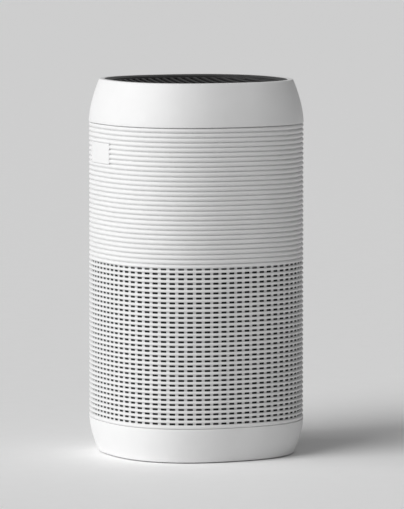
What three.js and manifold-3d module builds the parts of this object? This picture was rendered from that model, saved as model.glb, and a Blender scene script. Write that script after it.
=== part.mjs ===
// A compact tower air purifier. Air enters through the holed lower ribs, crosses an upright cylinder
// filter, is lifted by a centrifugal fan and leaves through a dished grille in the lid.
// Millimetres, +Z up, origin on the floor under the middle. The front, with the blank plate, faces -Y.
import * as THREE from 'three';
import { mergeVertices } from 'three/addons/utils/BufferGeometryUtils.js';
import Module from 'manifold-3d';

// Driving dimensions
const GAP = 0.3; // left between pieces that touch
const HALF_SIDE = 110; // from the axis to the crest of a rib, square on to a side
const PLAN_POWER = 2.43; // superellipse power of the plan outline: 2 is a circle
const PLAN_SIDES = 48; // facets round the body
const ROUND_SIDES = 32; // facets round a turned piece
const RIB_PITCH = 5.115;
const RIB_COUNT = 62;
const INTAKE_ROWS = 33; // grooves with air holes, counted up from the base
const FLOOR_GAP = 1.7; // under the base, the height that the feet stand out
const BASE_TOP = 37.6;
const LID_BOTTOM = BASE_TOP + RIB_COUNT * RIB_PITCH;
const RIM = 401;
const LID_TAPER = 10.9; // how far the lid draws in on each side
const BASE_TAPER = 8.9;
const TAPER_POWER = 1.7;
const WALL = 2.6;
const OUTLET_HALF = 93.7; // opening in the lid
const BEZEL_WIDTH = 8;
const DISH_DEPTH = 8;
const SLAT_PITCH = 8.7;
const SLAT_THICKNESS = 3.6;
const SLAT_DEPTH = 7;
const PANEL_RADIUS = 32.6;
const PANEL_TOP = 387.5;
const COVER_RADIUS = 83.5; // twist-off filter cover in the underside
const LUG_REACH = 4.5;
const COVER_TURN = 30; // degrees from locked to the notches
const FILTER_RADIUS = 80;
const FILTER_BOTTOM = 7.6;
const FILTER_TOP = 200;
const DECK_BOTTOM = 206.3;
const DECK_THICKNESS = 3;
const INLET_RADIUS = 50;
const IMPELLER_RADIUS = 75;
const IMPELLER_BOTTOM = 212;
const IMPELLER_TOP = 262;
const BLADE_COUNT = 11;
const MOTOR_RADIUS = 24;
const MOTOR_PLATE = 288.5; // underside of the plate that carries the motor
const DUCT_RADIUS = 88;
const DUCT_TOP = 383;
const POST_CIRCLE = 95;
const POST_ANGLES = [20, 110, 200, 290];
const FOOT_CIRCLE = 97;
const PLATE_WIDTH = 49; // blank plate on the front
const PLATE_MIDDLE = -8.5; // its x, a little left of the middle
const PLATE_BOTTOM = 313.2;
const PLATE_TOP = 335.2;
const PLATE_THICKNESS = 1.7;

const wasm = await Module();
wasm.setup();

const radians = THREE.MathUtils.degToRad;

/** Plan outline: distance from the axis at an angle, for a half side of 1. */
function outline(angle) {
  const across = Math.abs(Math.cos(angle)) ** PLAN_POWER;
  const along = Math.abs(Math.sin(angle)) ** PLAN_POWER;
  return (across + along) ** (-1 / PLAN_POWER);
}

// Geometry helpers

/** Turned piece from [radius, height] points. A profile off the axis closes into a ring. */
function turned(profile, sides = ROUND_SIDES) {
  const points = profile.map(([radius, height]) => new THREE.Vector2(radius, height));
  if (profile[0][0] > 0) points.push(points[0].clone());
  return new THREE.LatheGeometry(points, sides).rotateX(Math.PI / 2);
}

/** The same, with every radius stretched to the plan outline, so that a radius is a half side. */
function squared(profile) {
  const geometry = turned(profile, PLAN_SIDES);
  const place = geometry.getAttribute('position');
  for (let i = 0; i < place.count; i += 1) {
    const stretch = outline(Math.atan2(place.getY(i), place.getX(i)));
    place.setXY(i, place.getX(i) * stretch, place.getY(i) * stretch);
  }
  return geometry;
}

/** Closed ring of rectangular section. */
function ring(inner, outer, low, high, sides = ROUND_SIDES) {
  return turned([[inner, low], [outer, low], [outer, high], [inner, high]], sides);
}

function disc(radius, low, high, sides = ROUND_SIDES) {
  return new THREE.CylinderGeometry(radius, radius, high - low, sides)
    .rotateX(Math.PI / 2).translate(0, 0, (low + high) / 2);
}

/** Box from its lowest to its highest corner. */
function block([x0, y0, z0], [x1, y1, z1]) {
  return new THREE.BoxGeometry(x1 - x0, y1 - y0, z1 - z0)
    .translate((x0 + x1) / 2, (y0 + y1) / 2, (z0 + z1) / 2);
}

/** Round bar along Y, from one y to another. */
function crossBar(radius, x, z, from, to, sides = 16) {
  return new THREE.CylinderGeometry(radius, radius, to - from, sides)
    .translate(x, (from + to) / 2, z);
}

/** Moves a shape that stands on the axis out to a circle. */
function outTo(geometry, radius, degrees) {
  const angle = radians(degrees);
  return geometry.translate(radius * Math.cos(angle), radius * Math.sin(angle), 0);
}

/** Copies of a shape turned about the axis. */
function around(geometry, count, first = 0) {
  return Array.from({ length: count }, (_, i) =>
    geometry.clone().rotateZ(radians(first + (i * 360) / count)));
}

/** Round lead along a smooth line. */
function lead(points, radius, steps) {
  const section = new THREE.Shape().absarc(0, 0, radius, 0, Math.PI * 2);
  const extrudePath = new THREE.CatmullRomCurve3(points.map((p) => new THREE.Vector3(...p)));
  return new THREE.ExtrudeGeometry(section, { steps, curveSegments: 4, extrudePath });
}

// Joining and cutting

function solid(shape) {
  if (!(shape instanceof THREE.BufferGeometry)) return shape;
  const bare = new THREE.BufferGeometry().setAttribute('position', shape.getAttribute('position'));
  if (shape.index) bare.setIndex(shape.index);
  const merged = mergeVertices(bare, 1e-4);
  const place = merged.getAttribute('position');
  const corners = [0, 1, 2].map(() => new THREE.Vector3());
  const faces = [];
  let volume = 0;
  for (let i = 0; i < merged.index.count; i += 3) {
    const face = [0, 1, 2].map((k) => merged.index.getX(i + k));
    if (new Set(face).size < 3) continue;
    faces.push(face);
    corners.forEach((corner, k) => corner.fromBufferAttribute(place, face[k]));
    volume += corners[0].dot(corners[1].clone().cross(corners[2]));
  }
  if (volume < 0) faces.forEach((face) => face.reverse());
  return new wasm.Manifold(new wasm.Mesh({
    numProp: 3,
    vertProperties: new Float32Array(place.array),
    triVerts: new Uint32Array(faces.flat()),
  }));
}

const join = (...shapes) => shapes.map(solid).reduce((whole, piece) => whole.add(piece));
const cut = (shape, ...tools) =>
  tools.map(solid).reduce((whole, tool) => whole.subtract(tool), solid(shape));
const overlap = (one, other) => solid(one).intersect(solid(other));

// Materials

const finish = (color, roughness, metalness = 0) => ({ color, roughness, metalness });
const WHITE = finish(0xeceae6, 0.5);
const BLACK = finish(0x1a1a1b, 0.45);
const PANEL = finish(0x101112, 0.2);
const GREY = finish(0x8d9092, 0.6);
const RUBBER = finish(0x262626, 0.9);
const PAPER = finish(0xe9e6dc, 0.9);
const CARBON = finish(0x202020, 0.95);
const STEEL = finish(0xb4b6b8, 0.35, 1);
const BOARD = finish(0x1d5b3a, 0.5);
const COPPER = finish(0xb87344, 0.4, 1);
const LIGHT = finish(0xdfeaf0, 0.3);

const group = new THREE.Group();

function add(name, shape, look) {
  const { vertProperties, triVerts } = solid(shape).getMesh();
  const geometry = new THREE.BufferGeometry();
  geometry.setAttribute('position', new THREE.BufferAttribute(vertProperties, 3));
  geometry.setIndex(new THREE.BufferAttribute(triVerts, 1));
  geometry.computeVertexNormals();
  const mesh = new THREE.Mesh(geometry, new THREE.MeshStandardMaterial(look));
  mesh.name = name;
  group.add(mesh);
}

// Outer casing

const lidHalf = (z) =>
  HALF_SIDE - LID_TAPER * ((z - LID_BOTTOM) / (RIM - LID_BOTTOM)) ** TAPER_POWER;
const baseHalf = (z) =>
  HALF_SIDE - BASE_TAPER * ((BASE_TOP - z) / (BASE_TOP - FLOOR_GAP)) ** TAPER_POWER;

function addLid() {
  const steps = 3;
  const edge = 1.4; // radius of the rim's outer edge
  const low = LID_BOTTOM + GAP;
  const heights = Array.from({ length: steps + 1 }, (_, i) => low + ((RIM - edge - low) * i) / steps);
  const outside = heights.map((z) => [lidHalf(z), z]);
  const inside = heights.slice(0, steps).reverse().map((z) => [lidHalf(z) - WALL, z]);
  const lip = OUTLET_HALF + 2.2;
  add('lid', squared([
    ...outside,
    [lidHalf(RIM) - edge, RIM],
    [OUTLET_HALF, RIM], [OUTLET_HALF, RIM - 10], [lip, RIM - 10], [lip, RIM - WALL],
    ...inside,
  ]), WHITE);
}

function addBodyShell() {
  const low = BASE_TOP + GAP;
  const shell = squared([
    [HALF_SIDE - WALL, low], [HALF_SIDE, low],
    [HALF_SIDE, LID_BOTTOM], [HALF_SIDE - WALL, LID_BOTTOM],
  ]);
  const slotCount = 24;
  const slotTop = BASE_TOP + INTAKE_ROWS * RIB_PITCH;
  const slot = block([HALF_SIDE - 8, -1, low + RIB_PITCH], [HALF_SIDE + 12, 1, slotTop]);
  const recess = plateBand(PLATE_THICKNESS + GAP, GAP);
  add('body_shell', cut(shell, recess, ...around(slot, slotCount, 180 / slotCount)), WHITE);

  const netHalf = HALF_SIDE - WALL - 0.8; // the dust net lines the holed part of the shell
  add('prefilter_net', squared([
    [netHalf - 1.2, low + 3.4], [netHalf, low + 3.4],
    [netHalf, DECK_BOTTOM - 0.8], [netHalf - 1.2, DECK_BOTTOM - 0.8],
  ]), BLACK);
}

/** The part of the front skin within the blank plate, `depth` thick and `room` larger all round. */
function plateBand(depth, room) {
  const half = PLATE_WIDTH / 2 + room;
  const band = squared([
    [HALF_SIDE - depth, PLATE_BOTTOM - room], [HALF_SIDE + room, PLATE_BOTTOM - room],
    [HALF_SIDE + room, PLATE_TOP + room], [HALF_SIDE - depth, PLATE_TOP + room],
  ]);
  const window = block(
    [PLATE_MIDDLE - half, -2 * HALF_SIDE, PLATE_BOTTOM - room],
    [PLATE_MIDDLE + half, 0, PLATE_TOP + room],
  );
  return overlap(band, window);
}

function addBase() {
  const steps = 3;
  const edge = 2.4; // radius of the bottom edge
  const plate = 3;
  const high = BASE_TOP - GAP;
  const low = FLOOR_GAP + edge;
  const heights = Array.from({ length: steps + 1 }, (_, i) => high + ((low - high) * i) / steps);
  const outside = heights.map((z) => [baseHalf(z), z]);
  const inside = heights.slice(0, steps).map((z) => [baseHalf(z) - WALL, z]).reverse();
  const bottom = baseHalf(FLOOR_GAP);
  const hole = COVER_RADIUS + 0.5;
  const skirt = squared([
    ...outside,
    [bottom - edge, FLOOR_GAP], [60, FLOOR_GAP], [60, FLOOR_GAP + plate],
    [bottom - WALL - 1, FLOOR_GAP + plate],
    ...inside,
  ]);
  const opening = disc(hole, 0, 10, PLAN_SIDES);
  const notches = around(lug(LUG_REACH + 0.6, 24, 0, 10), 3, -COVER_TURN);
  const feet = [45, 135, 225, 315].map((angle) =>
    outTo(disc(7, 0, FLOOR_GAP + 1.6, 12), FOOT_CIRCLE, angle));
  const screwHoles = POST_ANGLES.flatMap((angle) => [
    outTo(disc(3.6, 0, FLOOR_GAP + 2, 10), POST_CIRCLE, angle),
    outTo(disc(1.9, 0, 10, 10), POST_CIRCLE, angle),
  ]);
  const socket = block([-11.3, 80, 11.7], [11.3, 120, 27.3]);
  add('base_shell', cut(skirt, opening, ...notches, ...feet, ...screwHoles, socket), WHITE);
}

/** Sector of a ring outside the cover's radius, `span` degrees wide, centred on +X. */
function lug(reach, span, low, high) {
  const inner = COVER_RADIUS - 1.5;
  const outer = COVER_RADIUS + reach;
  const half = radians(span / 2);
  const shape = new THREE.Shape();
  shape.absarc(0, 0, outer, -half, half, false);
  shape.absarc(0, 0, inner, half, -half, true);
  return new THREE.ExtrudeGeometry(shape, { depth: high - low, bevelEnabled: false, curveSegments: 3 })
    .translate(0, 0, low);
}

function addFilterCover() {
  const low = FLOOR_GAP + 0.9;
  const high = FILTER_BOTTOM - GAP;
  const lugLow = FLOOR_GAP + 3.3;
  const pocket = new THREE.Shape();
  const bar = 8; // half width of the grip bar between the two finger pockets
  const start = Math.asin(bar / 30);
  pocket.absarc(0, 0, 30, start, Math.PI - start, false);
  const scoop = new THREE.ExtrudeGeometry(pocket, { depth: 3, bevelEnabled: false, curveSegments: 10 })
    .translate(0, 0, low - 0.2);
  const lugs = around(lug(LUG_REACH, 20, lugLow, high), 3);
  add('filter_cover', cut(
    join(disc(COVER_RADIUS, low, high, PLAN_SIDES), ...lugs),
    ...around(scoop, 2),
  ), GREY);
}

function addFeetPostsAndScrews() {
  [45, 135, 225, 315].forEach((angle, i) => {
    add(`foot_${i + 1}`, outTo(disc(6.6, 0, FLOOR_GAP + 1.3, 12), FOOT_CIRCLE, angle), RUBBER);
  });
  const plateTop = FLOOR_GAP + 3 + GAP;
  POST_ANGLES.forEach((angle, i) => {
    const post = cut(disc(4.6, plateTop, DECK_BOTTOM - GAP, 10), disc(1.9, 0, 16, 10));
    add(`post_${i + 1}`, placed(post, POST_CIRCLE, angle), BLACK);
    const head = FLOOR_GAP + 0.3;
    const screw = turned([
      [0, head], [3.2, head], [3.2, head + 1.4], [1.5, head + 1.4], [1.5, 15], [0, 15],
    ], 10);
    add(`base_screw_${i + 1}`, outTo(screw, POST_CIRCLE, angle), STEEL);
  });
}

/** A cut solid moved out to a circle. */
function placed(shape, radius, degrees) {
  const angle = radians(degrees);
  const { vertProperties, triVerts } = shape.getMesh();
  const geometry = new THREE.BufferGeometry();
  geometry.setAttribute('position', new THREE.BufferAttribute(vertProperties, 3));
  geometry.setIndex(new THREE.BufferAttribute(triVerts, 1));
  return geometry.translate(radius * Math.cos(angle), radius * Math.sin(angle), 0);
}

// Outlet and controls

const bezelInner = OUTLET_HALF - GAP - BEZEL_WIDTH;
const dishEdge = RIM - 2.4;

/** Height of the dished grille's upper face above a point of the plan. */
function dishHeight(x, y) {
  const half = (Math.abs(x) ** PLAN_POWER + Math.abs(y) ** PLAN_POWER) ** (1 / PLAN_POWER);
  return dishEdge - DISH_DEPTH * (1 - (half / bezelInner) ** 2);
}

function addOutlet() {
  const outer = OUTLET_HALF - GAP;
  add('outlet_bezel', squared([
    [outer, RIM], [outer, RIM - 6], [bezelInner, RIM - 6.6], [bezelInner, RIM - 2],
  ]), BLACK);

  const frameOuter = bezelInner - GAP;
  const frameInner = frameOuter - 2.6;
  const frame = squared([
    [frameInner, dishEdge - 7], [frameOuter, dishEdge - 7],
    [frameOuter, dishEdge - 0.2], [frameInner, dishEdge - 0.7],
  ]);
  const hubInner = PANEL_RADIUS + GAP;
  const hub = ring(hubInner, hubInner + 2.4, PANEL_TOP - 7, PANEL_TOP + 4);
  const slats = [];
  const reach = Math.floor((frameInner - 2) / SLAT_PITCH);
  for (let i = -reach; i <= reach; i += 1) slats.push(slat(i * SLAT_PITCH, frameInner + 1.2));
  const core = disc(hubInner + 1.2, PANEL_TOP - 20, RIM);
  add('outlet_grille', join(cut(join(...slats), core), frame, hub), BLACK);
}

/** One upright slat along X at a given y, its upper edge on the dish. */
function slat(y, half) {
  const share = ((Math.abs(y) + SLAT_THICKNESS / 2) / half) ** PLAN_POWER;
  const end = half * (1 - share) ** (1 / PLAN_POWER);
  const steps = 4;
  const along = Array.from({ length: steps + 1 }, (_, i) => -end + (2 * end * i) / steps);
  const upper = along.map((x) => new THREE.Vector2(x, dishHeight(x, y)));
  const lower = along.map((x) => new THREE.Vector2(x, dishHeight(x, y) - SLAT_DEPTH)).reverse();
  return new THREE.ExtrudeGeometry(new THREE.Shape([...upper, ...lower]), {
    depth: SLAT_THICKNESS, bevelEnabled: false,
  }).rotateX(Math.PI / 2).translate(0, y + SLAT_THICKNESS / 2, 0);
}

const SMALL_BUTTONS = { speed_button: 45, timer_button: 135, sleep_button: 225, lock_button: 315 };
const SMALL_BUTTON_CIRCLE = 21.5;
const SMALL_BUTTON_RADIUS = 4.6;
const POWER_BUTTON_RADIUS = 8.5;
const BUTTON_SIDES = 12;

function button(radius) {
  const face = PANEL_TOP + 0.8;
  const under = PANEL_TOP - 3;
  return turned([
    [0, face], [radius, face], [radius, under],
    [radius + 1.2, under], [radius + 1.2, under - 1.4], [0, under - 1.4],
  ], BUTTON_SIDES);
}

function addControls() {
  const floor = PANEL_TOP - 17.5;
  const plate = 2.5;
  const cup = turned([
    [0, PANEL_TOP], [PANEL_RADIUS, PANEL_TOP], [PANEL_RADIUS, floor], [PANEL_RADIUS - 2, floor],
    [PANEL_RADIUS - 2, PANEL_TOP - plate], [0, PANEL_TOP - plate],
  ]);
  const bosses = around(disc(2, floor + 6, PANEL_TOP - 1, 8).translate(27, 0, 0), 4);
  const holes = Object.values(SMALL_BUTTONS).map((angle) =>
    outTo(
      disc(SMALL_BUTTON_RADIUS + 0.4, PANEL_TOP - 9, RIM, BUTTON_SIDES),
      SMALL_BUTTON_CIRCLE,
      angle,
    ));
  const powerHole = disc(POWER_BUTTON_RADIUS + 0.4, PANEL_TOP - 9, RIM, BUTTON_SIDES);
  const groove = ring(11, 13.4, PANEL_TOP - 1.2, RIM, 24);
  add('control_panel', cut(join(cup, ...bosses), ...holes, powerHole, groove), PANEL);
  add('indicator_ring', ring(11.3, 13.1, PANEL_TOP - 0.9, PANEL_TOP + 0.1, 24), LIGHT);
  add('power_button', button(POWER_BUTTON_RADIUS), GREY);
  Object.entries(SMALL_BUTTONS).forEach(([name, angle]) => {
    add(name, outTo(button(SMALL_BUTTON_RADIUS), SMALL_BUTTON_CIRCLE, angle), GREY);
  });
  const boardLow = floor + 4;
  const boardHigh = boardLow + 1.6;
  const tact = block([-3, -3, boardHigh - 0.1], [3, 3, PANEL_TOP - 5.8]);
  const switches = Object.values(SMALL_BUTTONS).map((angle) =>
    outTo(tact.clone(), SMALL_BUTTON_CIRCLE, angle));
  add('control_board', join(disc(PANEL_RADIUS - 3, boardLow, boardHigh), tact, ...switches), BOARD);
}

// Filter

function addFilter() {
  const capDepth = 4; // how far each cap wraps the media
  const capFloor = 3;
  const mediaLow = FILTER_BOTTOM + capFloor + GAP;
  const mediaHigh = FILTER_TOP - capFloor - GAP;
  const outer = FILTER_RADIUS - 1.6;
  add('filter_media', ring(58, outer - GAP, mediaLow, mediaHigh), PAPER);
  add('carbon_sleeve', ring(53.5, 58 - GAP, mediaLow, mediaHigh), CARBON);
  add('filter_bottom_cap', turned([
    [0, FILTER_BOTTOM], [FILTER_RADIUS, FILTER_BOTTOM], [FILTER_RADIUS, mediaLow + capDepth],
    [outer, mediaLow + capDepth], [outer, mediaLow - GAP], [0, mediaLow - GAP],
  ]), GREY);
  add('filter_top_cap', turned([
    [INLET_RADIUS, mediaHigh + GAP], [outer, mediaHigh + GAP], [outer, mediaHigh - capDepth],
    [FILTER_RADIUS, mediaHigh - capDepth], [FILTER_RADIUS, FILTER_TOP], [INLET_RADIUS, FILTER_TOP],
  ]), GREY);
  add('filter_seal', ring(INLET_RADIUS + 3, INLET_RADIUS + 12, FILTER_TOP + GAP, DECK_BOTTOM - GAP), RUBBER);
}

// Fan

function addDeckAndDuct() {
  const deckTop = DECK_BOTTOM + DECK_THICKNESS;
  const half = HALF_SIDE - WALL - 0.6;
  const plate = cut(
    squared([[30, DECK_BOTTOM], [half, DECK_BOTTOM], [half, deckTop], [30, deckTop]]),
    disc(INLET_RADIUS, DECK_BOTTOM - 5, deckTop + 5),
  );
  const mouth = ring(INLET_RADIUS, INLET_RADIUS + 2.4, DECK_BOTTOM, IMPELLER_BOTTOM + 1.5);
  const leadHole = disc(2.6, DECK_BOTTOM - 5, deckTop + 5, 12).translate(...POWER_LEAD_HOLE, 0);
  add('fan_deck', cut(join(plate, mouth), leadHole), GREY);

  const guardLow = DECK_BOTTOM + 0.4;
  const guardHigh = guardLow + 2;
  const rim = ring(INLET_RADIUS - 3, INLET_RADIUS - GAP, guardLow, guardHigh, 24);
  const centre = disc(6, guardLow, guardHigh, 8);
  const spokes = around(block([4, -1, guardLow], [INLET_RADIUS - 2, 1, guardHigh]), 6);
  add('inlet_guard', join(rim, centre, ...spokes), BLACK);

  const duct = ring(DUCT_RADIUS - 2, DUCT_RADIUS, deckTop + GAP, DUCT_TOP);
  const holes = [MOTOR_LEAD_HOLE, CONTROL_LEAD_HOLE].map(([x, z]) =>
    crossBar(3, x, z, 60, 120, 12));
  add('air_duct', cut(duct, ...holes), BLACK);
}

/** Backward-curved blade between two radii, as a thin curved wall. */
function blade(low, high) {
  const steps = 2;
  const inner = 52;
  const outer = IMPELLER_RADIUS - 0.6;
  const sweep = radians(-38);
  const half = 0.8;
  const edge = (side) => Array.from({ length: steps + 1 }, (_, i) => {
    const share = i / steps;
    const radius = inner + (outer - inner) * share;
    const angle = sweep * share + (side * half) / radius;
    return new THREE.Vector2(radius * Math.cos(angle), radius * Math.sin(angle));
  });
  return new THREE.ExtrudeGeometry(new THREE.Shape([...edge(-1), ...edge(1).reverse()]), {
    depth: high - low, bevelEnabled: false,
  }).translate(0, 0, low);
}

function addImpeller() {
  const shroud = 2;
  const lower = ring(INLET_RADIUS + 4, IMPELLER_RADIUS, IMPELLER_BOTTOM, IMPELLER_BOTTOM + shroud);
  const upper = ring(3.3, IMPELLER_RADIUS, IMPELLER_TOP - shroud, IMPELLER_TOP);
  const hub = turned([
    [3.3, IMPELLER_TOP - 14], [8, IMPELLER_TOP - 14], [12, IMPELLER_TOP - 1], [3.3, IMPELLER_TOP - 1],
  ], 24);
  const blades = around(
    blade(IMPELLER_BOTTOM + shroud - 0.5, IMPELLER_TOP - shroud + 0.5), BLADE_COUNT,
  );
  add('impeller', join(lower, upper, hub, ...blades), GREY);
}

function addMotor() {
  const rotorLow = IMPELLER_TOP + GAP;
  const rotorHigh = MOTOR_PLATE - 2.5;
  add('motor_rotor', turned([
    [3.3, rotorLow], [MOTOR_RADIUS, rotorLow], [MOTOR_RADIUS, rotorHigh],
    [MOTOR_RADIUS - 2, rotorHigh], [MOTOR_RADIUS - 2, rotorLow + 2], [3.3, rotorLow + 2],
  ]), STEEL);
  add('motor_shaft', disc(3, IMPELLER_TOP - 18, MOTOR_PLATE - 0.8, 24), STEEL);

  const tubeLow = rotorLow + 3;
  const teeth = around(block([10, -2.2, tubeLow + 3], [20, 2.2, rotorHigh - 3]), 6);
  const core = ring(10.6, 15, tubeLow + 3, rotorHigh - 3, 24);
  const bore = disc(10.6, tubeLow, rotorHigh, 24);
  add('motor_stator', cut(join(core, ...teeth), bore), COPPER);
  add('lower_bearing', ring(3.3, 7.7, tubeLow + 0.2, tubeLow + 5, 24), STEEL);
  add('upper_bearing', ring(3.3, 7.7, MOTOR_PLATE - 5.4, MOTOR_PLATE - GAP, 24), STEEL);

  const plateTop = MOTOR_PLATE + 3;
  const tube = ring(8, 10.3, tubeLow, MOTOR_PLATE + 1, 24);
  const plate = disc(36, MOTOR_PLATE, plateTop);
  const rim = ring(DUCT_RADIUS - 5, DUCT_RADIUS - 2 - GAP, MOTOR_PLATE - 4, plateTop + 8);
  const vane = block([34, -1.3, MOTOR_PLATE + 0.2], [DUCT_RADIUS - 4, 1.3, plateTop + 7]);
  const screwHoles = around(disc(1.8, MOTOR_PLATE - 1, plateTop + 1, 12).translate(16, 0, 0), 3, 20);
  const leadHole = disc(3, MOTOR_PLATE - 1, plateTop + 1, 12).translate(0, 16, 0);
  add('motor_mount', cut(join(tube, plate, rim, ...around(vane, 5, 12)), ...screwHoles, leadHole), BLACK);
  const screw = turned([
    [0, rotorHigh], [1.5, rotorHigh], [1.5, plateTop + GAP], [3, plateTop + GAP],
    [3, plateTop + 2], [0, plateTop + 2],
  ], 12).translate(16, 0, 0);
  around(screw, 3, 20).forEach((piece, i) => add(`motor_screw_${i + 1}`, piece, STEEL));
}

// Electrical parts

const LEAD_RADIUS = 1.6;
const POWER_LEAD_HOLE = [14, 96]; // x and y in the deck
const MOTOR_LEAD_HOLE = [6, 312]; // x and z in the duct
const CONTROL_LEAD_HOLE = [-6, 360];
const BOARD_LOW = 292;
const BOARD_HIGH = 350;

function addElectrics() {
  const face = 98.6;
  const board = block([-28, face, BOARD_LOW], [28, face + 1.6, BOARD_HIGH]);
  const stands = [[-24, BOARD_LOW + 4], [24, BOARD_LOW + 4], [-24, BOARD_HIGH - 4], [24, BOARD_HIGH - 4]]
    .map(([x, z]) => crossBar(2.4, x, z, face + 1, HALF_SIDE - WALL - 2.2, 12));
  const parts = [
    block([-24, 90.5, 300], [-6, face + 0.5, 318]),
    block([14, 92, 326], [24, face + 0.5, 342]),
    crossBar(4.5, -16, 332, 90.4, face + 0.5),
    crossBar(3.2, -4, 336, 91.4, face + 0.5),
  ];
  add('main_board', join(board, ...stands, ...parts), BOARD);

  add('particle_sensor', cut(
    block([-104, -19, 238], [-91.5, 19, 278]),
    crossBar(5, -104, 258, -10, 10),
  ), GREY);

  const recess = { half: 8, low: 15.5, high: 23.5, back: 93 };
  const body = block([-11, 91, 12], [11, 103.2, 27]);
  const hollow = block([-recess.half, recess.back, recess.low], [recess.half, 120, recess.high]);
  const pinHoles = [-4.3, 4.3].map((x) => crossBar(1.5, x, 19.5, 80, 100, 12));
  add('power_inlet', cut(body, hollow, ...pinHoles), BLACK);
  [-4.3, 4.3].forEach((x, i) => {
    add(`inlet_pin_${i + 1}`, crossBar(1.2, x, 19.5, 88, 101.5, 12), STEEL);
  });

  add('power_lead', lead([
    [0, 88.9, 22], [2, 89.5, 40], [12, 94.5, 70], [...POWER_LEAD_HOLE, 150],
    [...POWER_LEAD_HOLE, 208], [14, 96, 260], [10, 96.5, 290],
  ], LEAD_RADIUS, 16), RUBBER);
  add('motor_lead', lead([
    [0, 16, 287], [0, 16, 296], [2, 40, 303], [5, 74, 310], [6, 88, 312], [6, 96, 314],
  ], LEAD_RADIUS, 12), RUBBER);
  add('control_lead', lead([
    [0, 8, 371.5], [-1, 20, 365], [-4, 50, 360], [-6, 80, 360], [-6, 90, 359], [-8, 97, 352],
  ], LEAD_RADIUS, 12), RUBBER);
}

addLid();
addBodyShell();
add('name_plate', plateBand(PLATE_THICKNESS, 0), WHITE);
addBase();
addFilterCover();
addFeetPostsAndScrews();
addOutlet();
addControls();
addFilter();
addDeckAndDuct();
addImpeller();
addMotor();
addElectrics();

export default group;
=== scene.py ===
"""Looks of a compact tower air purifier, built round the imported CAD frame.

Shapes are worked out in millimetres and placed in metres. +Z up, front at -Y.
"""

import math

import bmesh
import bpy
import numpy as np
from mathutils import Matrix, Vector


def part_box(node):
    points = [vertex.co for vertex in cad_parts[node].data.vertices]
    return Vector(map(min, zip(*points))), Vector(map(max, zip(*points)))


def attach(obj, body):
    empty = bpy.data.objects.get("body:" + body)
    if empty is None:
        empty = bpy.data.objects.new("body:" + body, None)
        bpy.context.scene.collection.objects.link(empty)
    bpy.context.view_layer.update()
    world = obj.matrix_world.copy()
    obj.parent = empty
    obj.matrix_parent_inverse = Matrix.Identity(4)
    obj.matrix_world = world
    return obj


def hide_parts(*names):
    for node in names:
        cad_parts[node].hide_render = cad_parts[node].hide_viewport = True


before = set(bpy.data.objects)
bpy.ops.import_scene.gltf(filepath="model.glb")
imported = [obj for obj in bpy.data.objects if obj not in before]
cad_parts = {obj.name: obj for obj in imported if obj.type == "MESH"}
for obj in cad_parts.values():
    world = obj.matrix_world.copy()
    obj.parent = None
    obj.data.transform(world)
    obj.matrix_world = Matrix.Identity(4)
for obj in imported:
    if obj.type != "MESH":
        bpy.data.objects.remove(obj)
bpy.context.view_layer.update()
MM = 0.001
TURN = 2 * math.pi


def span(node):
    """Lowest and highest corner of a CAD node, in millimetres."""
    return [np.array(corner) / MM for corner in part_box(node)]


def levels(node):
    """Lowest and highest z of a CAD node."""
    low, high = span(node)
    return low[2], high[2]


def reach(node):
    """Largest x of a CAD node: the radius or half side of one that stands on the axis."""
    return span(node)[1][0]


# Sizes taken from the frame
HALF = reach("body_shell")                  # from the axis to a rib's crest, square on to a side
SHELL_LOW, SHELL_HIGH = levels("body_shell")
LID_LOW, RIM = levels("lid")
BASE_LOW, BASE_HIGH = levels("base_shell")
PLATE_LOW, PLATE_HIGH = span("name_plate")
BEZEL_HALF = reach("outlet_bezel")
BEZEL_LOW, BEZEL_HIGH = levels("outlet_bezel")
GRILLE_HALF = reach("outlet_grille")
PANEL_RADIUS = reach("control_panel")
PANEL_LOW, PANEL_TOP = levels("control_panel")
COVER_RADIUS = -span("filter_cover")[0][0]
COVER_LOW, COVER_HIGH = levels("filter_cover")
DECK_HALF = reach("fan_deck")
DECK_LOW, DECK_HIGH = levels("fan_deck")
DUCT_RADIUS = reach("air_duct")
DUCT_LOW, DUCT_HIGH = levels("air_duct")
ROTOR_RADIUS = reach("motor_rotor")
ROTOR_LOW, ROTOR_HIGH = levels("motor_rotor")

# Design
GAP = 0.3                                   # between pieces that touch
PLAN_POWER = 2.43                           # superellipse power of the plan outline
RIBS = 62
INTAKE_ROWS = 33                            # holed grooves, counted up from the base
HOLES_ROUND = 76
RIB_COLUMNS = 228
SEAM_LOW = SHELL_LOW - GAP                  # the base seam
PITCH = (SHELL_HIGH - SEAM_LOW) / RIBS
WALL = 2.6                                  # of the lid and the base
SKIN_DEPTH = 2.85                           # from a rib's crest to the casing's inner face
LID_TAPER = 10.9
BASE_TAPER = 8.9
TAPER_POWER = 1.7
BASE_LIP = BASE_LOW - 0.8                   # the base's outer edge stands this near the floor
SLAT_PITCH = 8.7
SLAT_THICKNESS = 3.6
SLAT_DEPTH = 7
DISH_DEPTH = 8
DISH_EDGE = RIM - 2.4
HUB_TOP = PANEL_TOP + 4
SMALL_BUTTONS = {"speed_button": 45, "timer_button": 135, "sleep_button": 225, "lock_button": 315}
BUTTON_CIRCLE = 21.5
SMALL_BUTTON_RADIUS = 4.6
POWER_BUTTON_RADIUS = 8.5
COVER_TURNS = (0, 120, 240)                 # the cover's three lugs when locked
UNLOCKED = -30                              # from a lug to its notch
FOOT_CIRCLE, FOOT_ANGLES = 97, (45, 135, 225, 315)
POST_CIRCLE, POST_ANGLES = 95, (20, 110, 200, 290)
SCREW_CIRCLE, SCREW_ANGLES = 16, (20, 140, 260)     # in the motor's plate
LEAD_RADIUS = 1.6


# Mesh helpers

def outline(angle):
    """Distance from the axis to the plan outline for a half side of 1."""
    across = np.abs(np.cos(angle)) ** PLAN_POWER + np.abs(np.sin(angle)) ** PLAN_POWER
    return across ** (-1 / PLAN_POWER)


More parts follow.
